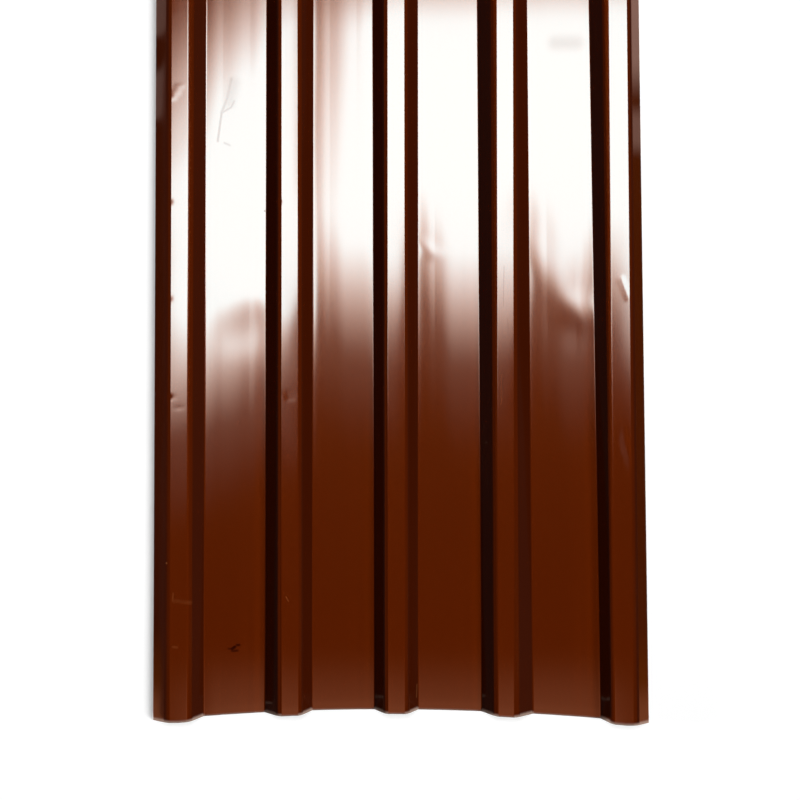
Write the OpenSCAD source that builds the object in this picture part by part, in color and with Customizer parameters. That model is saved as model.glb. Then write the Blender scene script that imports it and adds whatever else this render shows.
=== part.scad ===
// Box profile sheet: one coated steel sheet, roll-formed into straight trapezoidal ribs
// with flat pans between them. Both side edges end in the outer web of an edge rib.
// X runs across the sheet, Y along the ribs and Z up. The origin is at the middle of
// the sheet, on the plane that the undersides of the pans rest on.

/* [Sheet] */
// Length of the sheet, along its ribs
sheet_length = 2000; // [600:10:6000]
// Thickness of the coated steel
sheet_thickness = 0.4; // [0.3:0.05:1.2]

/* [Ribs] */
// Number of ribs across the sheet
rib_count = 5; // [2:1:8]
// Distance from the middle of one rib to the middle of the next
rib_pitch = 200; // [150:1:300]
// Height from the underside of a pan to the top of a crest
rib_height = 25; // [18:0.5:45]
// Width of a rib at the pans, between its bend lines
rib_base_width = 86; // [72:1:120]
// Width of a rib's top, between its bend lines
crest_width = 40; // [30:1:60]

/* [Bends] */
// Inside radius of the two bends beside a crest
crest_bend_radius = 10; // [2:0.5:12]
// Inside radius of the bends beside a pan
pan_bend_radius = 3; // [1:0.5:8]
// Number of flat strips that each bend is drawn with
bend_strips = 5; // [3:1:8]

/* [Hidden] */

half_thickness = sheet_thickness / 2;
pan_level = half_thickness;
crest_level = rib_height - half_thickness;
first_rib_x = -(rib_count - 1) * rib_pitch / 2;

// The corners of one rib on the middle surface, from left to right: [x, z, bend radius there]
function rib_corners(rib_x) = [
    [rib_x - rib_base_width / 2, pan_level, pan_bend_radius + half_thickness],
    [rib_x - crest_width / 2, crest_level, crest_bend_radius + half_thickness],
    [rib_x + crest_width / 2, crest_level, crest_bend_radius + half_thickness],
    [rib_x + rib_base_width / 2, pan_level, pan_bend_radius + half_thickness]
];

// The corners of the whole section. The first and last are the free side edges.
section_corners = [
    for (rib = [0 : rib_count - 1])
        each rib_corners(first_rib_x + rib * rib_pitch)
];

function place(corner) = [corner.x, corner.y];
function heading(from, to) = atan2(to.y - from.y, to.x - from.x);
function along(angle) = [cos(angle), sin(angle)];
function across(angle) = [-sin(angle), cos(angle)];

// A station is a point of the middle surface with the direction across the steel there.
function free_edge(corner, angle) = [place(corner), across(angle)];

// The stations round one bend, whose steel turns from one heading to another
function bend(corner, angle_in, angle_out) =
    let (
        turn = angle_out - angle_in,
        radius = corner.z,
        lead = radius * tan(abs(turn) / 2),
        start = place(corner) - lead * along(angle_in),
        centre = start + sign(turn) * radius * across(angle_in)
    )
    [
        for (strip = [0 : bend_strips])
            let (angle = angle_in + turn * strip / bend_strips)
            [centre - sign(turn) * radius * across(angle), across(angle)]
    ];

// The stations of the whole section, from the left free edge to the right one
function section_stations(corners) =
    let (
        last = len(corners) - 1,
        headings = [for (i = [0 : last - 1]) heading(corners[i], corners[i + 1])]
    )
    [
        free_edge(corners[0], headings[0]),
        for (i = [1 : last - 1]) each bend(corners[i], headings[i - 1], headings[i]),
        free_edge(corners[last], headings[last - 1])
    ];

function face(stations, offset) = [for (s = stations) s[0] + offset * s[1]];
function reversed(points) = [for (i = [len(points) - 1 : -1 : 0]) points[i]];

// The outline of the cut end: the painted face one way and the backing face the other
module sheet_section() {
    stations = section_stations(section_corners);
    polygon(concat(
        face(stations, half_thickness),
        reversed(face(stations, -half_thickness))
    ));
}

module profiled_sheet() {
    color("saddlebrown")
        rotate([90, 0, 0])
            linear_extrude(height = sheet_length, center = true)
                sheet_section();
}

profiled_sheet();
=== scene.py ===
"""Looks of a box profile sheet: gloss brown coated steel, lying on a pale studio floor.

Everything is in metres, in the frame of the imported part: X across the ribs, Y along them, Z up.
The near end of the sheet is the low Y end, which the camera sees at the bottom of its picture.
"""

import math

import bpy
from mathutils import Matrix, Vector


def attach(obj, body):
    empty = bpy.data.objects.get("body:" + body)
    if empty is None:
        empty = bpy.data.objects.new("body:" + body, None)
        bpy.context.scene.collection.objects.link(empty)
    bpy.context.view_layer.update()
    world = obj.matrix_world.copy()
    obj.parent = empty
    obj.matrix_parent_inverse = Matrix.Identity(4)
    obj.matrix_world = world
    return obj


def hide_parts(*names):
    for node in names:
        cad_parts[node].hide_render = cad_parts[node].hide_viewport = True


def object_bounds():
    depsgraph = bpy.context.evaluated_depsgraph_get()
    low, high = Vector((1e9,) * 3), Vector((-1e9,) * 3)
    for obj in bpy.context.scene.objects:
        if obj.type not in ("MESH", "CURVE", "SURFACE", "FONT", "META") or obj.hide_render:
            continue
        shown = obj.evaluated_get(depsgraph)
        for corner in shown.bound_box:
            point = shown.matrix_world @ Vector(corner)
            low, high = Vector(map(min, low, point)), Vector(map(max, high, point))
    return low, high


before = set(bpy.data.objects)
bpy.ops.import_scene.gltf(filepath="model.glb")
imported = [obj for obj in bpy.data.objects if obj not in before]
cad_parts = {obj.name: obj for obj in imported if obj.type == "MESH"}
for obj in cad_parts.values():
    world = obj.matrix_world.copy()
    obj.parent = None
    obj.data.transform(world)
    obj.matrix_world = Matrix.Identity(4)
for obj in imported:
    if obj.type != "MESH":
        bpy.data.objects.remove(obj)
CAD_LOW, CAD_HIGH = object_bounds()

# Sizes of the sheet
SHEET_WIDTH = CAD_HIGH.x - CAD_LOW.x
SHEET_LENGTH = CAD_HIGH.y - CAD_LOW.y
SHEET_HEIGHT = CAD_HIGH.z - CAD_LOW.z
STEEL = 0.0004
RIB_COUNT = 5
RIB_PITCH = 0.200
RIB_BASE = 0.086
CREST_WIDTH = 0.040
CREST_BEND = 0.010
PAN_BEND = 0.003

# How finely the sheet is drawn: rows along it, and strips across each stretch of the section
ROWS = 286
# Rows lie closest where the near end and the dents need them.
# Each zone, from the near end on, is its share of the rows and its share of the length.
ROW_ZONES = ((0.03, 0.008), (0.12, 0.262), (0.80, 0.385), (0.05, 0.345))
# Share of its turn that a bend has made along each of its strips. A crest bend starts with a crease.
CREST_TURN_SHARES = (0.475, 0.80)
PAN_TURN_SHARES = (0.25, 0.75)
# Shares of a crest's flat at which it has points. The right edge crest has more, for its crease.
CREST_SHARES = (0.25, 0.5, 0.75)
CREASED_CREST_SHARES = (0.2, 0.38, 0.5, 0.62, 0.74, 0.86)
# Crests further off the middle than this belong to the edge ribs
EDGE_RIBS_FROM = RIB_PITCH * 1.5
# The stretch of the section that leads to each of a rib's four corners
STRETCHES = ("pan", "web", "crest", "web")
# A flat stretch has a point just off each bend, so that the gloss stays flat up to the bend
SUPPORT = 0.0007

# Each pan is three shallow crowned strips between two roll lines, given as shares of the pan's flat
ROLL_LINE_SHARES = (0.275, 0.73)
PAN_STRIP_EDGES = (0.0, *ROLL_LINE_SHARES, 1.0)
# Shares of a crowned strip at which it has points
STRIP_SHARES = (0.25, 0.5, 0.75)
CROWN_HEIGHT = 0.00010
ROLL_LINE_HALF_WIDTH = 0.0012

# How far each rib strayed sideways on the roll-former, from left to right across the sheet.
# Each row is left foot, crest's left edge, crest's right edge and right foot,
# first at the near end and then at the far end.
RIB_DRIFTS = (
    (0.0000, 0.0079, 0.0074, 0.0058, 0.0000, 0.0070, 0.0045, 0.0083),
    (0.0027, 0.0093, 0.0070, 0.0019, 0.0090, 0.0099, 0.0060, 0.0085),
    (-0.0002, -0.0010, -0.0035, -0.0079, 0.0035, 0.0052, 0.0045, 0.0011),
    (-0.0091, -0.0060, -0.0115, -0.0038, -0.0050, 0.0051, 0.0038, -0.0027),
    (0.0016, -0.0024, -0.0015, 0.0000, -0.0067, 0.0044, 0.0055, 0.0000),
)

# The near end isn't cut quite square: the middle is short of the corners, and pans short of crests
NEAR_END_ARCH = 0.018
NEAR_END_ARCH_HALF_SPAN = 0.402
NEAR_END_PAN_PULL = 0.0036
# At the near end the shears pressed the last few millimetres down
NEAR_END_CURL = 0.0007
NEAR_END_CURL_LENGTH = 0.016
# How far the pale strip along the near cut, a painted sheen, reaches on flats, bends, webs and the crests of
# edge ribs
PAINTED_SHEEN_REACH = {"flat": 0.0026, "bend": 0.0050, "web": 0.0070, "edge_crest": 0.0050}
# Share of that reach, from the cut on, within which the painted sheen is strongest
PAINTED_SHEEN_FULL_SHARE = 0.35
# Shallow waves that a thin sheet keeps in its pans and on its crests: height, and scale across and along
PAN_WAVE = 0.00014
PAN_WAVE_SCALES = (7.0, 3.0)
CREST_WAVE = 0.0004
CREST_WAVE_SCALES = (9.0, 5.0)
# Where the waves are taken from their noise, how far on those of the crests are, and the noise's low and high
WAVE_SEED = 3.0
CREST_SEED_STEP = 4.0
WAVE_LOW, WAVE_HIGH = 0.25, 0.75
# Points nearer than this become one, and whole numbers nearer than this count as the same
MERGE_DISTANCE = STEEL / 20
WHOLE_NUMBER_SLACK = 0.1

# Dents on the crests from handling: start x and y, end x and y, half width and depth.
# A depth below zero is a raised crease.
CREST_DENTS = (
    (-0.4080, 0.2770, -0.4045, 0.2850, 0.0028, -0.00018),
    (-0.4080, 0.1270, -0.3945, 0.1500, 0.0030, -0.00024),
    (-0.4115, -0.061, -0.4115, -0.066, 0.0022, 0.0007),
    (-0.4115, -0.238, -0.4115, -0.243, 0.0022, 0.0007),
    (-0.4095, -0.416, -0.4085, -0.420, 0.0024, 0.0004),
    (-0.3965, -0.433, -0.3935, -0.439, 0.0026, 0.00022),
    (-0.2080, -0.062, -0.2075, -0.070, 0.0030, 0.0006),
    (-0.1960, -0.413, -0.1915, -0.423, 0.0040, 0.0003),
    (0.4010, -0.2130, 0.4135, -0.2470, 0.0045, -0.00015),
    (0.4000, -0.492, 0.4130, -0.532, 0.0040, 0.0005),
)
# Shallow ridges and hollows in the pans, where the thin sheet buckled: the same six numbers,
# with a rise in place of the depth
PAN_RIDGES = (
    (-0.286, -0.233, -0.240, -0.233, 0.040, 0.0008),
    (-0.293, -0.306, -0.287, -0.306, 0.036, -0.0005),
    (0.036, -0.136, 0.068, -0.160, 0.012, 0.00016),
    (0.230, -0.158, 0.386, -0.329, 0.0385, 0.0004),
    (0.330, -0.267, 0.384, -0.285, 0.030, 0.0008),
)

# Marks in the coat: start x and y, end x and y, half width, and how strongly the mark shows
BLACK_MARKS = (
    (-0.2997, -0.8722, -0.2946, -0.8686, 0.0036, 1.00),
    (-0.2997, -0.8760, -0.2901, -0.8752, 0.0030, 0.70),
    (-0.3055, -0.8723, -0.3033, -0.8722, 0.0032, 0.60),
    (-0.2905, -0.8652, -0.2868, -0.8652, 0.0032, 0.85),
)
PALE_MARKS = (
    (-0.4147, -0.7164, -0.4147, -0.7170, 0.0022, 0.30),
    (-0.4019, -0.7700, -0.4025, -0.7844, 0.0022, 0.10),
    (-0.4011, -0.7830, -0.3720, -0.7869, 0.0060, 0.05),
    (-0.4017, -0.8654, -0.3945, -0.8662, 0.0040, 0.07),
    (-0.1986, -0.7760, -0.1941, -0.7841, 0.0014, 0.20),
    (0.1876, -0.3824, 0.1872, -0.4349, 0.0014, 0.07),
    (0.0334, -0.9334, 0.0325, -0.9564, 0.0014, 0.10),
    (-0.2897, -0.4630, -0.2897, -0.4636, 0.0014, 0.12),
    (0.2813, -0.5293, 0.2813, -0.5299, 0.0014, 0.12),
)
DULL_MARKS = (
    (-0.3023, 0.1684, -0.3097, 0.1342, 0.0060, 0.20),
    (-0.3097, 0.1342, -0.3204, 0.1066, 0.0050, 0.22),
    (-0.3204, 0.1066, -0.3277, 0.0534, 0.0036, 0.28),
    (-0.2970, 0.1271, -0.3033, 0.1156, 0.0036, 0.26),
    (-0.3033, 0.1156, -0.3182, 0.1071, 0.0034, 0.24),
    (-0.3153, 0.0498, -0.3051, 0.0450, 0.0034, 0.20),
    (-0.2970, 0.1600, -0.3060, 0.1250, 0.0200, 0.12),
    (-0.2403, -0.0771, -0.2403, -0.0775, 0.0026, 0.60),
    (0.2920, 0.2232, 0.3290, 0.2226, 0.0240, 0.17),
    (0.1941, -0.1878, 0.1921, -0.2592, 0.0014, 0.20),
    (0.1997, -0.2831, 0.2004, -0.3010, 0.0014, 0.18),
)

# Camera, as fitted to the photograph
CAMERA_PLACE = (0.108, -0.523, 2.165)
CAMERA_TURN = (0.0448, 0.0476, -0.0049)
CAMERA_LENS = 54.0
CAMERA_SENSOR = 36.0


class Value:
    """A number socket of a node tree. Sums and products of it add Math nodes to that tree."""

    def __init__(self, tree, socket):
        self.tree = tree
        self.socket = socket

    def math(self, operation, *others):
        return self.tree.add("ShaderNodeMath", {"operation": operation}, (self, *others))[0]

    def __add__(self, other):
        return self.math("ADD", other)

    __radd__ = __add__

    def __sub__(self, other):
        return self.math("SUBTRACT", other)

    def __rsub__(self, other):
        return (self * -1.0) + other

    def __mul__(self, other):
        return self.math("MULTIPLY", other)

    __rmul__ = __mul__

    def __truediv__(self, other):
        return self.math("DIVIDE", other)

    def __pow__(self, power):
        return self.math("POWER", power)

    def __neg__(self):
        return self * -1.0


class Tree:
    """Builds one node tree, for a material, the world or Geometry Nodes."""

    def __init__(self, nodes_and_links):
        self.tree = nodes_and_links

    def add(self, kind, settings=None, inputs=()):
        """Adds a node. Settings are set first, then its sockets by place, name or identifier."""
        node = self.tree.nodes.new(kind)
        for name, setting in (settings or {}).items():
            setattr(node, name, setting)
        pairs = inputs.items() if isinstance(inputs, dict) else enumerate(inputs)
        for key, given in pairs:
            self.feed(self.find(node.inputs, key), given)
        return Outputs(self, node)

    def find(self, sockets, key):
        if isinstance(key, int):
            return sockets[key]
        for socket in sockets:
            if key in (socket.identifier, socket.name) and socket.enabled:
                return socket
        raise KeyError(key)

    def feed(self, socket, given):
        if isinstance(given, Value):
            self.tree.links.new(given.socket, socket)
        else:
            socket.default_value = given

    def vector(self, operation, *inputs, output="Vector"):
        return self.add("ShaderNodeVectorMath", {"operation": operation}, inputs)[output]

    def scaled(self, vector, factor):
        settings = {"operation": "SCALE"}
        return self.add("ShaderNodeVectorMath", settings, {"Vector": vector, "Scale": factor})["Vector"]

    def xyz(self, vector):
        split = self.add("ShaderNodeSeparateXYZ", None, (vector,))
        return split["X"], split["Y"], split["Z"]

    def combine(self, x, y, z):
        return self.add("ShaderNodeCombineXYZ", None, (x, y, z))[0]

    def smooth(self, value, start, end, low=0.0, high=1.0):
        """A number that goes smoothly from low to high as value goes from start to end."""
        settings = {"interpolation_type": "SMOOTHSTEP"}
        return self.add("ShaderNodeMapRange", settings, (value, start, end, low, high))[0]

    def ramp(self, value, start, end, high):
        """A number that goes evenly from nothing to high as value goes from start to end."""
        return self.add("ShaderNodeMapRange", None, (value, start, end, 0.0, high))[0]

    def around(self, value, middle, ends, full):
        """A number that is 1 near a middle and fades to nothing where value lies too far from it."""
        return self.smooth((value - middle).math("ABSOLUTE"), ends, full)

    def noise(self, place, scale, detail):
        sockets = {"Vector": place, "Scale": scale, "Detail": detail}
        return self.add("ShaderNodeTexNoise", None, sockets)["Fac"]

    def object_place(self):
        return self.add("ShaderNodeTexCoord")["Object"]

    def mix_color(self, share, first, second):
        settings = {"data_type": "RGBA"}
        sockets = {"Factor_Float": share, "A_Color": first, "B_Color": second}
        return self.add("ShaderNodeMix", settings, sockets)["Result_Color"]


class Outputs:
    """The output sockets of a node, by place, name or identifier."""

    def __init__(self, tree, node):
        self.tree = tree
        self.node = node

    def __getitem__(self, key):
        return Value(self.tree, self.tree.find(self.node.outputs, key))


# The section

def heading_vector(angle):
    return Vector((math.cos(angle), math.sin(angle)))


def across_vector(angle):
    return Vector((-math.sin(angle), math.cos(angle)))


def heading_angle(start, end):
    run = end - start
    return math.atan2(run.y, run.x)


def painted_corners():
    """Corners of the painted face from left to right."""
    slant = math.atan2(SHEET_HEIGHT - STEEL, (RIB_BASE - CREST_WIDTH) / 2)
    shift = STEEL / 2 * math.tan(slant / 2)
    foot, shoulder = RIB_BASE / 2 + shift, CREST_WIDTH / 2 + shift
    edge = RIB_BASE / 2 + STEEL / 2 * math.sin(slant)
    edge_level = STEEL / 2 + STEEL / 2 * math.cos(slant)
    corners = []
    for rib in range(RIB_COUNT):
        x = (rib - (RIB_COUNT - 1) / 2) * RIB_PITCH
        corners += [
            Vector((x - foot, STEEL)),
            Vector((x - shoulder, SHEET_HEIGHT)),
            Vector((x + shoulder, SHEET_HEIGHT)),
            Vector((x + foot, STEEL)),
        ]
    middle = RIB_PITCH * (RIB_COUNT - 1) / 2
    corners[0] = Vector((-middle - edge, edge_level))
    corners[-1] = Vector((middle + edge, edge_level))
    return corners


def bend_points(corner, tangent, angle_in, angle_out, shares, creased):
    """Points of the painted face round one bend, which starts a tangent's length before the corner."""
    turn = angle_out - angle_in
    headings = [heading_vector(angle_in + turn * share) for share in shares]
    reach = sum((heading for heading in headings), Vector((0.0, 0.0)))
    along, aside = heading_vector(angle_in), across_vector(angle_in)
    onward = reach.dot(aside) / math.sin(turn)
    step = tangent / (reach.dot(along) - onward * math.cos(turn))
    points = [corner - along * tangent]
    for heading in headings:
        points.append(points[-1] + heading * step)
    if creased:
        points.insert(1, points[0] + headings[0] * SUPPORT)
    return points


def crown(share):
    """Height of a pan's crowned strips at a share of its flat."""
    for left, right in zip(PAN_STRIP_EDGES, PAN_STRIP_EDGES[1:]):
        if share <= right:
            place = 2 * (share - left) / (right - left) - 1
            return CROWN_HEIGHT * (1 - place * place)
    return 0.0


def pan_shares(flat):
    """Shares of a pan's flat at which the section has points."""
    shares = []
    for left, right in zip(PAN_STRIP_EDGES, PAN_STRIP_EDGES[1:]):
        shares += [left + (right - left) * part for part in STRIP_SHARES]
    for line in ROLL_LINE_SHARES:
        shares += [line + side * ROLL_LINE_HALF_WIDTH / flat for side in (-1, 1)]
    return sorted(shares + [SUPPORT / flat, 1 - SUPPORT / flat])


def section_points():
    """Points of the painted face across the sheet, each as (place, share across a pan or -1, kind)."""
    corners = painted_corners()
    points = [(corners[0], -1.0, "web")]
    for index in range(1, len(corners) - 1):
        before, corner, after = corners[index - 1:index + 2]
        angle_in, angle_out = heading_angle(before, corner), heading_angle(corner, after)
        corner_of_rib = index % len(STRETCHES)
        left_of_crest = corner_of_rib == 1
        by_crest = corner_of_rib in (1, 2)
        radius = CREST_BEND if by_crest else PAN_BEND
        tangent = radius * math.tan(abs(angle_out - angle_in) / 2)
        if left_of_crest:
            # A crest's left bend is laid from the crest, as its right bend is
            angle_in, angle_out = angle_out + math.pi, angle_in + math.pi
        shares = CREST_TURN_SHARES if by_crest else PAN_TURN_SHARES
        bend = bend_points(corner, tangent, angle_in, angle_out, shares, by_crest)
        if left_of_crest:
            bend.reverse()
        add_stretch(points, bend[0], STRETCHES[corner_of_rib])
        points += [(point, -1.0, "bend") for point in bend]
    add_stretch(points, corners[-1], "web")
    points.append((corners[-1], -1.0, "web"))
    return points


def add_stretch(points, end, kind):
    """Adds the points between the last one and the start of the next bend."""
    start = points[-1][0]
    flat = (end - start).length
    if kind == "pan":
        for share in pan_shares(flat):
            lift = Vector((0.0, crown(share)))
            points.append((start.lerp(end, share) + lift, share, "flat"))
        return
    shares = [SUPPORT / flat, 1 - SUPPORT / flat]
    if kind == "crest":
        shares[1:1] = CREASED_CREST_SHARES if start.x > EDGE_RIBS_FROM else CREST_SHARES
        kind = "edge_crest" if abs(start.x) > EDGE_RIBS_FROM else "flat"
    points += [(start.lerp(end, share), -1.0, kind) for share in shares]


def drift_at(x, far):
    """How far the sheet strayed sideways at x, at the near or the far end."""
    offsets = (-RIB_BASE / 2, -CREST_WIDTH / 2, CREST_WIDTH / 2, RIB_BASE / 2)
    places, drifts = [], []
    for rib, row in enumerate(RIB_DRIFTS):
        centre = (rib - (RIB_COUNT - 1) / 2) * RIB_PITCH
        places += [centre + offset for offset in offsets]
        drifts += row[4:] if far else row[:4]
    x = min(max(x, places[0]), places[-1])
    for index in range(1, len(places)):
        if x <= places[index]:
            share = (x - places[index - 1]) / (places[index] - places[index - 1])
            return drifts[index - 1] + share * (drifts[index] - drifts[index - 1])


def section_line():
    """The section as a line of points that carry what the sheet's node tree needs of each."""
    points = section_points()
    mesh = bpy.data.meshes.new("section")
    places = [(place.x, 0.0, place.y) for place, _, _ in points]
    mesh.from_pydata(places, [(i, i + 1) for i in range(len(points) - 1)], [])
    columns = {
        "near_drift": [drift_at(place.x, False) for place, _, _ in points],
        "far_drift": [drift_at(place.x, True) for place, _, _ in points],
        "pan_middle": [1 - (2 * share - 1) ** 2 if share > 0 else 0.0 for _, share, _ in points],
        "crest_height": [place.y / SHEET_HEIGHT for place, _, _ in points],
        "painted_sheen_reach": [PAINTED_SHEEN_REACH[kind] for _, _, kind in points],
    }
    for name, numbers in columns.items():
        attribute = mesh.attributes.new(name, "FLOAT", "POINT")
        attribute.data.foreach_set("value", numbers)
    line = bpy.data.objects.new("section", mesh)
    bpy.context.scene.collection.objects.link(line)
    return line


# The sheet's node tree

def new_geometry_tree(name, inputs):
    group = bpy.data.node_groups.new(name, "GeometryNodeTree")
    group.interface.new_socket("Geometry", in_out="INPUT", socket_type="NodeSocketGeometry")
    for label, kind in inputs:
        group.interface.new_socket(label, in_out="INPUT", socket_type=kind)
    group.interface.new_socket("Geometry", in_out="OUTPUT", socket_type="NodeSocketGeometry")
    return group


def segment_distance(tree, place, start, end):
    """How far a place lies from the straight line between two places."""
    run = tree.vector("SUBTRACT", end, start)
    reached = tree.vector("SUBTRACT", place, start)
    share = tree.vector("DOT_PRODUCT", reached, run, output="Value")
    share = share / tree.vector("DOT_PRODUCT", run, run, output="Value")
    share = share.math("MAXIMUM", 0.0).math("MINIMUM", 1.0)
    off = tree.vector("SUBTRACT", reached, tree.scaled(run, share))
    return tree.vector("LENGTH", off, output="Value")


def press_tree():
    """A tree that presses a rounded ridge or dent into a sheet along a straight line."""
    group = new_geometry_tree("press", (
        ("Start", "NodeSocketVector"),
        ("End", "NodeSocketVector"),
        ("Half width", "NodeSocketFloat"),
        ("Rise", "NodeSocketFloat"),
        ("Share", "NodeSocketFloat"),
    ))
    tree = Tree(group)
    given = tree.add("NodeGroupInput")
    place = tree.add("GeometryNodeInputPosition")[0]
    off = segment_distance(tree, place, given["Start"], given["End"]) / given["Half width"]
    rise = (-(off * off)).math("EXPONENT") * given["Rise"] * given["Share"]
    pressed = tree.add("GeometryNodeSetPosition", None, {
        "Geometry": given["Geometry"], "Offset": tree.combine(0.0, 0.0, rise),
    })
    tree.add("NodeGroupOutput", None, (pressed["Geometry"],))
    return group


def sheet_tree(coat, backing, cut_edge):
    """A tree that rolls the section out along Y, deforms it and gives it its thickness."""
    group = new_geometry_tree("roll_out_sheet", (
        ("Length", "NodeSocketFloat"),
        ("Height", "NodeSocketFloat"),
        ("Rows", "NodeSocketInt"),
        ("Steel", "NodeSocketFloat"),
        ("Half width", "NodeSocketFloat"),
        ("End arch", "NodeSocketFloat"),
        ("Arch half span", "NodeSocketFloat"),
        ("Pan pull", "NodeSocketFloat"),
        ("End curl", "NodeSocketFloat"),
        ("Pan wave", "NodeSocketFloat"),
        ("Crest wave", "NodeSocketFloat"),
        ("Seed", "NodeSocketFloat"),
    ))
    tree = Tree(group)
    given = tree.add("NodeGroupInput")
    section = given["Geometry"]
    rows = given["Rows"]
    size = tree.add("GeometryNodeAttributeDomainSize", None, (section,))
    grid = tree.add("GeometryNodeMeshGrid", None, {
        "Vertices X": size["Point Count"], "Vertices Y": rows,
    })["Mesh"]
    index = tree.add("GeometryNodeInputIndex")[0]
    column = (index / rows).math("FLOOR")
    row_share = index.math("MODULO", rows) / (rows - 1.0)
    along, rows_used = 0.0, 0.0
    for row_part, length_part in ROW_ZONES:
        along = along + tree.ramp(row_share, rows_used, rows_used + row_part, length_part)
        rows_used += row_part

    def sampled(name, kind="FLOAT"):
        if name == "position":
            source = tree.add("GeometryNodeInputPosition")[0]
        else:
            settings = {"data_type": kind}
            source = tree.add("GeometryNodeInputNamedAttribute", settings, (name,))["Attribute"]
        settings = {"data_type": kind, "domain": "POINT"}
        return tree.add("GeometryNodeSampleIndex", settings, {
            "Geometry": section, "Value": source, "Index": column,
        })["Value"]

    x, _, z = tree.xyz(sampled("position", "FLOAT_VECTOR"))
    near, far = sampled("near_drift"), sampled("far_drift")
    crest_height = sampled("crest_height")
    pan_middle = sampled("pan_middle")

    # The rolled sheet, with its ribs astray and its near end not quite square
    from_middle = x / given["Arch half span"]
    arch = given["End arch"] * (1.0 - from_middle * from_middle).math("MAXIMUM", 0.0)
    inner_edge = given["Arch half span"] - RIB_BASE / 2
    pan_part = tree.smooth(x.math("ABSOLUTE"), given["Half width"], inner_edge)
    recess = arch + given["Pan pull"] * (1.0 - crest_height) * pan_part
    y = given["Length"] * (along - 0.5) + recess * (1.0 - along)
    rolled = tree.combine(x + near + (far - near) * along, y, z)

    # Shallow waves: pans only rise off the floor and crests only sink
    def wave(scales, seed_step):
        place = tree.combine(x * scales[0], y * scales[1], given["Seed"] + seed_step)
        return tree.smooth(tree.noise(place, 1.0, 0.0), WAVE_LOW, WAVE_HIGH)

    from_end = along * given["Length"] / NEAR_END_CURL_LENGTH
    curl = (1.0 - from_end).math("MAXIMUM", 0.0) ** 2.0
    rise = given["Pan wave"] * pan_middle * wave(PAN_WAVE_SCALES, 0.0)
    rise = rise + given["End curl"] * (1.0 - crest_height) * (1.0 - curl)
    sink = given["Crest wave"] * wave(CREST_WAVE_SCALES, CREST_SEED_STEP) + given["End curl"] * curl
    height = rise - sink * crest_height
    pressed = tree.add("GeometryNodeSetPosition", None, {
        "Geometry": grid,
        "Position": tree.vector("ADD", rolled, tree.combine(0.0, 0.0, height)),
    })["Geometry"]

    # Dents and ridges, one after the other. A ridge keeps to its pan and dies away up its webs.
    press = press_tree()
    marks = [(mark, SHEET_HEIGHT, -mark[5], 1.0) for mark in CREST_DENTS]
    pitches = (x / RIB_PITCH).math("FLOOR")
    for mark in PAN_RIDGES:
        own_pitch = math.floor((mark[0] + mark[2]) / 2 / RIB_PITCH)
        own_pan = pitches.math("COMPARE", own_pitch, WHOLE_NUMBER_SLACK)
        marks.append((mark, STEEL, mark[5], own_pan * (1.0 - crest_height)))
    for (start_x, start_y, end_x, end_y, half_width, _), level, depth, share in marks:
        pressed = tree.add("GeometryNodeGroup", {"node_tree": press}, {
            "Geometry": pressed,
            "Start": (start_x, start_y, level),
            "End": (end_x, end_y, level),
            "Half width": half_width,
            "Rise": depth,
            "Share": share,
        })["Geometry"]
    # A strip along the near cut that the coat paints paler and less glossy: a painted sheen
    painted_sheen_reach = sampled("painted_sheen_reach")
    formed = tree.add("GeometryNodeStoreNamedAttribute", {"data_type": "FLOAT", "domain": "POINT"}, {
        "Geometry": pressed,
        "Name": "painted_end_sheen",
        "Value": tree.smooth(along * given["Length"], painted_sheen_reach, painted_sheen_reach * PAINTED_SHEEN_FULL_SHARE),
    })["Geometry"]

    # The steel: the painted face, the backing face and the cut edges between them
    normal = tree.add("GeometryNodeInputNormal")["Normal"]
    inward = tree.scaled(normal, -given["Steel"])
    extruded = tree.add("GeometryNodeExtrudeMesh", {"mode": "FACES"}, {
        "Mesh": formed, "Offset": inward, "Offset Scale": 1.0, "Individual": False,
    })
    inside = tree.add("GeometryNodeFlipFaces", None, (extruded["Mesh"],))["Mesh"]
    joined = tree.add("GeometryNodeJoinGeometry")
    group.links.new(formed.socket, joined.node.inputs[0])
    group.links.new(inside.socket, joined.node.inputs[0])
    closed = tree.add("GeometryNodeMergeByDistance", None, {
        "Geometry": joined["Geometry"], "Distance": MERGE_DISTANCE,
    })["Geometry"]

    # Every point is held within the box that the sheet was rolled to
    reach = tree.combine(given["Half width"], given["Length"] / 2.0, given["Height"])
    low = tree.vector("MULTIPLY", reach, (-1.0, -1.0, 0.0))
    held = tree.vector("MINIMUM", tree.add("GeometryNodeInputPosition")[0], reach)
    fitted = tree.add("GeometryNodeSetPosition", None, {
        "Geometry": closed, "Position": tree.vector("MAXIMUM", held, low),
    })["Geometry"]
    rounded = tree.add("GeometryNodeSetShadeSmooth", {"domain": "FACE"}, {
        "Geometry": fitted, "Shade Smooth": 1.0 - extruded["Side"],
    })["Geometry"]
    solid = tree.add("GeometryNodeRealizeInstances", None, (rounded,))["Geometry"]
    for material, where in ((coat, None), (backing, extruded["Top"]), (cut_edge, extruded["Side"])):
        sockets = {"Geometry": solid, "Material": material}
        if where:
            sockets["Selection"] = where
        solid = tree.add("GeometryNodeSetMaterial", None, sockets)["Geometry"]
    tree.add("NodeGroupOutput", None, (solid,))
    return group


def set_inputs(modifier, values):
    """Sets a modifier's inputs by the identifiers of its sockets."""
    for item in modifier.node_group.interface.items_tree:
        if item.item_type == "SOCKET" and item.in_out == "INPUT" and item.name in values:
            modifier[item.identifier] = values[item.name]


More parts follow.
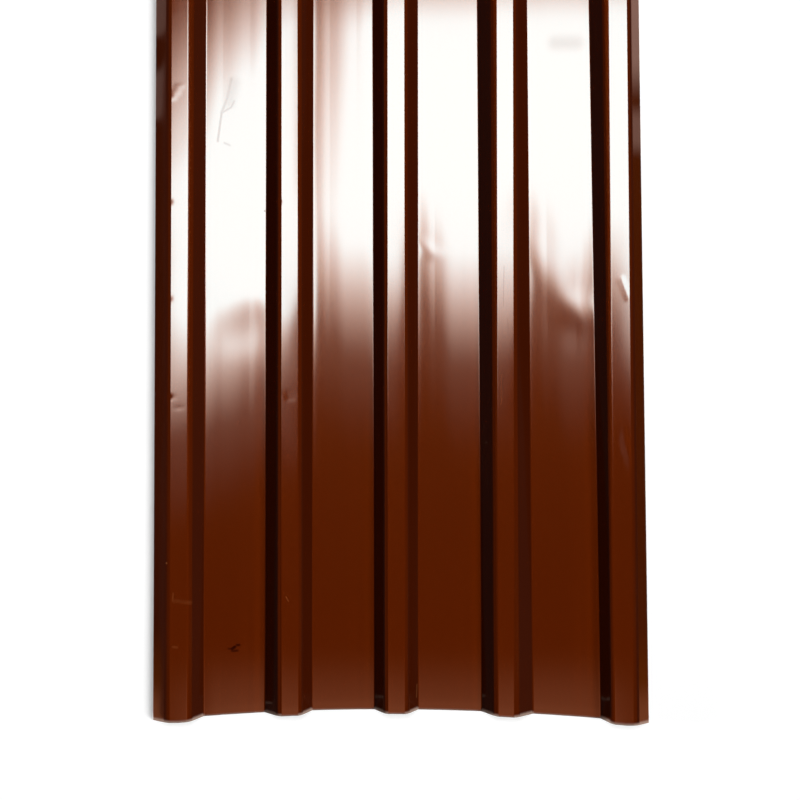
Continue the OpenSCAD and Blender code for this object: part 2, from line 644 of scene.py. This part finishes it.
def make_sheet(coat, backing, cut_edge):
    line = section_line()
    modifier = line.modifiers.new("roll_out", "NODES")
    modifier.node_group = sheet_tree(coat, backing, cut_edge)
    set_inputs(modifier, {
        "Length": SHEET_LENGTH,
        "Height": SHEET_HEIGHT,
        "Rows": ROWS,
        "Steel": STEEL,
        "Half width": SHEET_WIDTH / 2,
        "End arch": NEAR_END_ARCH,
        "Arch half span": NEAR_END_ARCH_HALF_SPAN,
        "Pan pull": NEAR_END_PAN_PULL,
        "End curl": NEAR_END_CURL,
        "Pan wave": PAN_WAVE,
        "Crest wave": CREST_WAVE,
        "Seed": WAVE_SEED,
    })
    shown = line.evaluated_get(bpy.context.evaluated_depsgraph_get())
    mesh = bpy.data.meshes.new_from_object(shown)
    mesh.name = "coated_sheet"
    sheet = bpy.data.objects.new("coated_sheet", mesh)
    bpy.context.scene.collection.objects.link(sheet)
    bpy.data.objects.remove(line)
    return sheet


# Materials

# Two colours between which a surface varies, then the scale and the detail of that change
COAT_CLOUD = ((0.027, 0.0032, 0.0003, 1.0), (0.032, 0.0040, 0.00045, 1.0), 5.0, 3.0)
BACKING_CLOUD = ((0.40, 0.41, 0.41, 1.0), (0.47, 0.48, 0.47, 1.0), 6.0, 4.0)
EDGE_CLOUD = ((0.30, 0.29, 0.28, 1.0), (0.45, 0.44, 0.42, 1.0), 300.0, 2.0)
# Colour of the painted sheen along the near cut
PAINTED_SHEEN_COLOR = (0.36, 0.26, 0.21, 1.0)
PALE_COLOR = (0.45, 0.17, 0.06, 1.0)
BLACK_COLOR = (0.002, 0.0005, 0.0003, 1.0)
# Share of a black mark's half width that is evenly black
BLACK_CORE_SHARE = 0.4
# How much the painted sheen along the near cut changes the colour, and how much it and black marks dull the
# gloss
PAINTED_SHEEN_COLOR_SHARE = 0.6
PAINTED_SHEEN_DULL_SHARE = 0.8
BLACK_DULL_SHARE = 0.9
# Fine texture of the paint
PEEL_SCALE, PEEL_DETAIL = 420.0, 2.0
PEEL_STRENGTH, PEEL_HEIGHT = 0.04, 0.0004


def new_material(name):
    material = bpy.data.materials.new(name)
    material.use_nodes = True
    material.node_tree.nodes.clear()
    return material, Tree(material.node_tree)


def finish_material(tree, shader):
    tree.add("ShaderNodeOutputMaterial", None, {"Surface": shader})


def strokes(tree, place, marks, core=0.0):
    """How strongly any mark shows at a place, seen from above. A mark's core is even and its rim soft."""
    x, y, _ = tree.xyz(place)
    above = tree.combine(x, y, 0.0)
    shown = None
    for start_x, start_y, end_x, end_y, half_width, strength in marks:
        off = segment_distance(tree, above, (start_x, start_y, 0.0), (end_x, end_y, 0.0))
        stroke = tree.smooth(off, half_width, half_width * core, 0.0, strength)
        shown = shown.math("MAXIMUM", stroke) if shown else stroke
    return shown


def clouded(tree, place, first, second, scale, detail):
    """A colour that varies between two."""
    return tree.mix_color(tree.noise(place, scale, detail), first, second)


def brown_coat():
    material, tree = new_material("brown_coat")
    place = tree.object_place()
    color = clouded(tree, place, *COAT_CLOUD)
    # Paler and less glossy towards the near cut: a painted sheen
    painted_sheen = tree.add("ShaderNodeAttribute", {"attribute_name": "painted_end_sheen"})["Fac"]
    color = tree.mix_color(painted_sheen * PAINTED_SHEEN_COLOR_SHARE, color, PAINTED_SHEEN_COLOR)
    black = strokes(tree, place, BLACK_MARKS, BLACK_CORE_SHARE)
    pale, dull = strokes(tree, place, PALE_MARKS), strokes(tree, place, DULL_MARKS)
    color = tree.mix_color(pale, color, PALE_COLOR)
    color = tree.mix_color(black, color, BLACK_COLOR)
    peel = tree.noise(place, PEEL_SCALE, PEEL_DETAIL)
    bump = tree.add("ShaderNodeBump", None, {
        "Strength": PEEL_STRENGTH, "Distance": PEEL_HEIGHT, "Height": peel,
    })
    shader = tree.add("ShaderNodeBsdfPrincipled", None, {
        "Base Color": color,
        "Roughness": 0.24,
        "Specular IOR Level": 0.12,
        "Specular Tint": (1.0, 0.35, 0.12, 1.0),
        "Coat Weight": 1.0 - painted_sheen * PAINTED_SHEEN_DULL_SHARE - dull - black * BLACK_DULL_SHARE,
        "Coat Roughness": 0.07,
        "Coat IOR": 1.5,
        "Normal": bump["Normal"],
    })
    finish_material(tree, shader["BSDF"])
    return material


def backing_coat():
    material, tree = new_material("backing_coat")
    color = clouded(tree, tree.object_place(), *BACKING_CLOUD)
    shader = tree.add("ShaderNodeBsdfPrincipled", None, {"Base Color": color, "Roughness": 0.5})
    finish_material(tree, shader["BSDF"])
    return material


def bare_edge():
    material, tree = new_material("bare_edge")
    color = clouded(tree, tree.object_place(), *EDGE_CLOUD)
    shader = tree.add("ShaderNodeBsdfPrincipled", None, {
        "Base Color": color, "Metallic": 1.0, "Roughness": 0.45,
    })
    finish_material(tree, shader["BSDF"])
    return material


# Studio

WHITE = (1.0, 1.0, 1.0, 1.0)
# Strength of the white world as it lights things. The camera sees it at full strength.
WORLD_LIGHT = 0.03

# The floor: its colour, the colour that gloss mirrors, and a glow that only the camera sees
FLOOR_SIZE = 40.0
FLOOR_GAP = 0.0006
FLOOR_COLOR = (0.97, 0.97, 0.97, 1.0)
FLOOR_MIRRORED_COLOR = (0.02, 0.006, 0.001, 1.0)
FLOOR_GLOW = 0.09
# Glow of the floor beside the sheet, which the outer webs mirror: by the near end, in pale patches
# further off, and a little all along the right
NEAR_GLOW_COLOR = (0.76, 0.29, 0.16)
PATCH_GLOW_COLOR = (1.37, 0.95, 0.80)
RIGHT_GLOW_COLOR = (0.13, 0.03, 0.0)
# A span is where something starts and where it is full: here off the middle, then along the sheet
BESIDE_SPAN = (0.425, 0.445)
NEAR_GLOW_SPAN = (-0.92, -0.985)
LOW_GLOW_SPAN, LOW_GLOW = (-0.82, -0.93), 2.5
# On each side are a short patch, as its middle and how far off it ends and is full, and a long one further on
LEFT_PATCH, LEFT_LONG_PATCH_SPAN = (0.14, 0.056, 0.034), (0.24, 0.262)
RIGHT_PATCH, RIGHT_LONG_PATCH_SPAN = (0.06, 0.055, 0.015), (0.105, 0.195)
# Glow of both patches on the left, and of the short one on the right
LEFT_PATCHES_GLOW, RIGHT_PATCH_GLOW = 0.45, 0.6

# A ceiling level with the camera, that only the gloss of the sheet shows, and only at a ray's first bounce
CEILING_HEIGHT = CAMERA_PLACE[2]
CEILING_REACH = 5.0
FIRST_BOUNCE = 1.5
CEILING_COLOR = (1.09, 0.146, 0.0)
# Its warm glow: where that comes up on the left, a dimmer one beyond, its fade on the right and at both ends
WARM_LEFT_SPAN = (-3.6, -1.0)
WARM_BEYOND_SPAN, WARM_BEYOND_SHARE = (-3.1, -3.4), 0.5
WARM_RIGHT_SPAN, WARM_RIGHT_SHARE = (0.95, 1.9), 0.55
WARM_ENDS_SPAN = (CEILING_REACH, 3.5)
# Warm strips that run along the ceiling: place of the first, way to the next, half width and extra glow
CEILING_STRIPS = (-0.595, 0.395, 0.06, 0.50)
# A paler glow past the near end: its span along, then its middle across and how far off it ends and is full
FRONT_COLOR = (1.35, 0.6, 0.32)
FRONT_SPAN = (-1.2, -1.5)
FRONT_ACROSS = (-0.1, 0.95, 0.60)

# Two soft lights in the ceiling. Each fades over this way in from its near edge, and is warm where it is dim.
SOFTBOX_GLOW = 19.6
SOFTBOX_FADE = 0.52
SOFTBOX_DIM_TINT = (1.0, 0.76, 0.64)
SOFTBOX_FULL_TINT = (1.0, 1.19, 1.21)
# Some of its glow spills past that edge
SPILL = 0.065
SPILL_SPAN, SPILL_POWER = (-0.40, 0.20), 1.5
# The wide light: its near edge at the middle, how that edge slants, and its other three edges
WIDE_EDGE_Y, WIDE_EDGE_SLANT = -0.236, 0.02
WIDE_LEFT_SPAN, WIDE_LEFT_SLANT, WIDE_LEFT_PIVOT = (-0.618, -0.248), 0.16, 0.6
WIDE_RIGHT_SPAN = (0.98, 0.86)
WIDE_FAR_SPAN = (1.40, 1.0)
# Its near edge is set back in scallops, each deep on its left: left end, reach and depth.
# A depth below zero sets the edge forward.
SCALLOPS = (
    (-0.450, 0.22, 0.17), (-0.262, 0.13, 0.04), (-0.076, 0.19, 0.24), (0.325, 0.20, 0.235),
    (0.575, 0.10, 0.06), (0.640, 0.12, 0.105), (0.729, 0.20, -0.14),
)
# From its left end on, where a scallop starts, where it is full and where it starts to get shallow
SCALLOP_START, SCALLOP_FULL, SCALLOP_EASE = -0.012, 0.004, 0.04
# The small light on its left: a point of its near edge, how that edge slants, and a dip and a bulge in it,
# each as its middle, how far off it ends and is full, and its depth
SMALL_EDGE_X, SMALL_EDGE_Y, SMALL_EDGE_SLANT = -0.68, -0.40, 0.45
SMALL_DIP, SMALL_DIP_DEPTH = (-0.59, 0.08, 0.02), 0.045
SMALL_BULGE, SMALL_BULGE_DEPTH = (-0.70, 0.07, 0.0), 0.008
# Its other edges, and a far left corner that is cut off: a point there, the way inwards and the span that way
SMALL_LEFT_SPAN = (-1.18, -0.84)
SMALL_RIGHT_SPAN = (-0.445, -0.475)
SMALL_FAR_SPAN = (1.85, 0.8)
SMALL_CORNER_X, SMALL_CORNER_Y = -0.882, 0.79
SMALL_CORNER_WAY, SMALL_CORNER_SPAN = (0.87, -0.62), (-0.28, 0.21)

# Lamps that light the sheet and the floor. Those at the sides are given by name, place, spread and strength.
LAMP_AIM = (0.0, -0.4, 0.0)
OVERHEAD_PLACE, OVERHEAD_SIZE, OVERHEAD_POWER = (0.0, 0.5, 3.0), 1.2, 30.0
SIDE_LAMPS = (
    ("right_side", (2.50, -0.95, 1.50), 15.0, 4.25),
    ("left_side", (-2.50, -0.4, 0.05), 1.0, 4.1),
    ("left_fill", (-2.50, -0.4, 0.40), 3.0, 0.50),
)


def flat_plane(name, half_x, half_y, place):
    mesh = bpy.data.meshes.new(name)
    corners = [(-half_x, -half_y, 0), (half_x, -half_y, 0), (half_x, half_y, 0), (-half_x, half_y, 0)]
    mesh.from_pydata(corners, [], [(0, 1, 2, 3)])
    plane = bpy.data.objects.new(name, mesh)
    plane.location = place
    bpy.context.scene.collection.objects.link(plane)
    return plane


def side_glow(tree, x, y):
    """The colour that the outer webs mirror from the floor beside the sheet."""
    off_middle, on_right = x.math("ABSOLUTE"), x.math("GREATER_THAN", 0.0)
    # Where along the sheet an outer web mirrors this place to an eye above the middle of the picture
    _, eye_y, eye_height = CAMERA_PLACE
    spread = (off_middle - SHEET_WIDTH / 2).math("MAXIMUM", 0.0) / eye_height
    along = (y + spread * eye_y) / (spread + 1.0)
    near = tree.smooth(along, *NEAR_GLOW_SPAN)
    low = tree.smooth(along, *LOW_GLOW_SPAN, 0.0, LOW_GLOW)
    left_patches = tree.around(along, *LEFT_PATCH) + tree.smooth(along, *LEFT_LONG_PATCH_SPAN)
    right_patches = tree.around(along, *RIGHT_PATCH) * RIGHT_PATCH_GLOW
    right_patches = right_patches + tree.smooth(along, *RIGHT_LONG_PATCH_SPAN)
    patches = left_patches * LEFT_PATCHES_GLOW * (1.0 - on_right) + right_patches * on_right
    channels = []
    for by_end, patch, right in zip(NEAR_GLOW_COLOR, PATCH_GLOW_COLOR, RIGHT_GLOW_COLOR):
        channels.append(near * by_end + patches * patch + (on_right + low) * right)
    return tree.add("ShaderNodeCombineColor", None, channels)[0]


def make_floor():
    """A pale floor that the camera sees as white, apart from the sheet's shadow."""
    floor = flat_plane("floor", FLOOR_SIZE / 2, FLOOR_SIZE / 2, (0, 0, -FLOOR_GAP))
    material, tree = new_material("pale_floor")
    path = tree.add("ShaderNodeLightPath")
    mirrored = path["Is Glossy Ray"]
    color = tree.mix_color(mirrored, FLOOR_COLOR, FLOOR_MIRRORED_COLOR)
    diffuse = tree.add("ShaderNodeBsdfDiffuse", None, {"Color": color})
    glow = tree.add("ShaderNodeEmission", None, {
        "Color": WHITE, "Strength": path["Is Camera Ray"] * FLOOR_GLOW,
    })
    shader = tree.add("ShaderNodeAddShader", None, (diffuse["BSDF"], glow["Emission"]))
    x, y, _ = tree.xyz(tree.object_place())
    warm = tree.add("ShaderNodeEmission", None, {
        "Color": side_glow(tree, x, y),
        "Strength": mirrored * tree.smooth(x.math("ABSOLUTE"), *BESIDE_SPAN),
    })
    shader = tree.add("ShaderNodeAddShader", None, (shader[0], warm["Emission"]))
    finish_material(tree, shader[0])
    floor.data.materials.append(material)


def near_fade(tree, inside):
    """How bright a soft light is so far in from its near edge."""
    spill = tree.smooth(inside, *SPILL_SPAN) ** SPILL_POWER
    return tree.smooth(inside, 0.0, SOFTBOX_FADE) + spill * SPILL


def small_light(tree, x, y):
    dip = tree.around(x, *SMALL_DIP) * SMALL_DIP_DEPTH
    bulge = tree.around(x, *SMALL_BULGE) * SMALL_BULGE_DEPTH
    inside = y - (x - SMALL_EDGE_X) * SMALL_EDGE_SLANT - dip - SMALL_EDGE_Y + bulge
    sides = tree.smooth(x, *SMALL_LEFT_SPAN) * tree.smooth(x, *SMALL_RIGHT_SPAN)
    right, back = SMALL_CORNER_WAY
    from_corner = (x - SMALL_CORNER_X) * right + (y - SMALL_CORNER_Y) * back
    corner = tree.smooth(from_corner, *SMALL_CORNER_SPAN) * tree.smooth(y, *SMALL_FAR_SPAN)
    return near_fade(tree, inside) * sides * corner


def wide_light(tree, x, y):
    inside = y - x * WIDE_EDGE_SLANT - WIDE_EDGE_Y
    for start, reach, depth in SCALLOPS:
        scallop = tree.smooth(x, start + SCALLOP_START, start + SCALLOP_FULL)
        scallop = scallop * tree.smooth(x, start + reach, start + SCALLOP_EASE)
        inside = inside - scallop * depth
    left = tree.smooth(x - (y - WIDE_LEFT_PIVOT) * WIDE_LEFT_SLANT, *WIDE_LEFT_SPAN)
    ends = tree.smooth(x, *WIDE_RIGHT_SPAN) * tree.smooth(y, *WIDE_FAR_SPAN)
    return near_fade(tree, inside) * left * ends


def warm_glow(tree, x, y):
    """How brightly the ceiling itself glows."""
    glow = tree.smooth(x, *WARM_LEFT_SPAN) + tree.smooth(x, *WARM_BEYOND_SPAN) * WARM_BEYOND_SHARE
    glow = glow * tree.smooth(x, *WARM_RIGHT_SPAN, 1.0, WARM_RIGHT_SHARE)
    glow = glow * tree.smooth(y.math("ABSOLUTE"), *WARM_ENDS_SPAN)
    first, step, half_width, extra = CEILING_STRIPS
    from_strip = (x - first).math("PINGPONG", step / 2)
    return glow * (tree.smooth(from_strip, half_width, 0.0) * extra + 1.0)


def make_ceiling():
    """A warm ceiling with lights, shown only where the sheet's gloss mirrors it straight to the eye."""
    ceiling = flat_plane("ceiling", CEILING_REACH, CEILING_REACH, (0, 0, CEILING_HEIGHT))
    material, tree = new_material("ceiling_glow")
    path = tree.add("ShaderNodeLightPath")
    x, y, _ = tree.xyz(tree.object_place())
    lit = (small_light(tree, x, y) + wide_light(tree, x, y)).math("MINIMUM", 1.0)
    warmth = warm_glow(tree, x, y)
    front = tree.smooth(y, *FRONT_SPAN) * tree.around(x, *FRONT_ACROSS)
    channels = []
    for warm, near, dim, full in zip(CEILING_COLOR, FRONT_COLOR, SOFTBOX_DIM_TINT, SOFTBOX_FULL_TINT):
        glow = lit * (lit * lit * (full - dim) + dim) * SOFTBOX_GLOW
        channels.append(glow + warmth * warm + front * near)
    shader = tree.add("ShaderNodeEmission", None, {
        "Color": tree.add("ShaderNodeCombineColor", None, channels)[0],
        "Strength": path["Ray Depth"].math("LESS_THAN", FIRST_BOUNCE),
    })
    finish_material(tree, shader["Emission"])
    ceiling.data.materials.append(material)
    ceiling.visible_camera = False
    ceiling.visible_diffuse = False
    ceiling.visible_shadow = False


def add_lamp(name, kind, place, power):
    """A lamp aimed at the middle of what the camera sees. The gloss doesn't show it."""
    data = bpy.data.lights.new(name, kind)
    data.energy = power
    lamp = bpy.data.objects.new(name, data)
    lamp.location = place
    lamp.rotation_euler = (Vector(LAMP_AIM) - Vector(place)).to_track_quat("-Z", "Y").to_euler()
    lamp.visible_glossy = False
    bpy.context.scene.collection.objects.link(lamp)
    return data


def make_lights():
    overhead = add_lamp("overhead", "AREA", OVERHEAD_PLACE, OVERHEAD_POWER)
    overhead.size = OVERHEAD_SIZE
    for name, place, spread, strength in SIDE_LAMPS:
        sun = add_lamp(name, "SUN", place, strength)
        sun.angle = math.radians(spread)


def make_world():
    world = bpy.data.worlds.new("studio")
    world.use_nodes = True
    world.node_tree.nodes.clear()
    bpy.context.scene.world = world
    tree = Tree(world.node_tree)
    seen = tree.add("ShaderNodeLightPath")["Is Camera Ray"]
    background = tree.add("ShaderNodeBackground", None, {
        "Color": WHITE, "Strength": seen * (1.0 - WORLD_LIGHT) + WORLD_LIGHT,
    })
    tree.add("ShaderNodeOutputWorld", None, {"Surface": background["Background"]})


def make_camera():
    data = bpy.data.cameras.new("camera")
    data.sensor_width = CAMERA_SENSOR
    data.lens = CAMERA_LENS
    camera = bpy.data.objects.new("camera", data)
    camera.location = CAMERA_PLACE
    camera.rotation_euler = CAMERA_TURN
    bpy.context.scene.collection.objects.link(camera)
    bpy.context.scene.camera = camera


make_camera()
sheet = make_sheet(brown_coat(), backing_coat(), bare_edge())
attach(sheet, "root")
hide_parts("profiled_sheet")
make_floor()
make_ceiling()
make_lights()
make_world()
bpy.context.scene.view_settings.view_transform = "Standard"
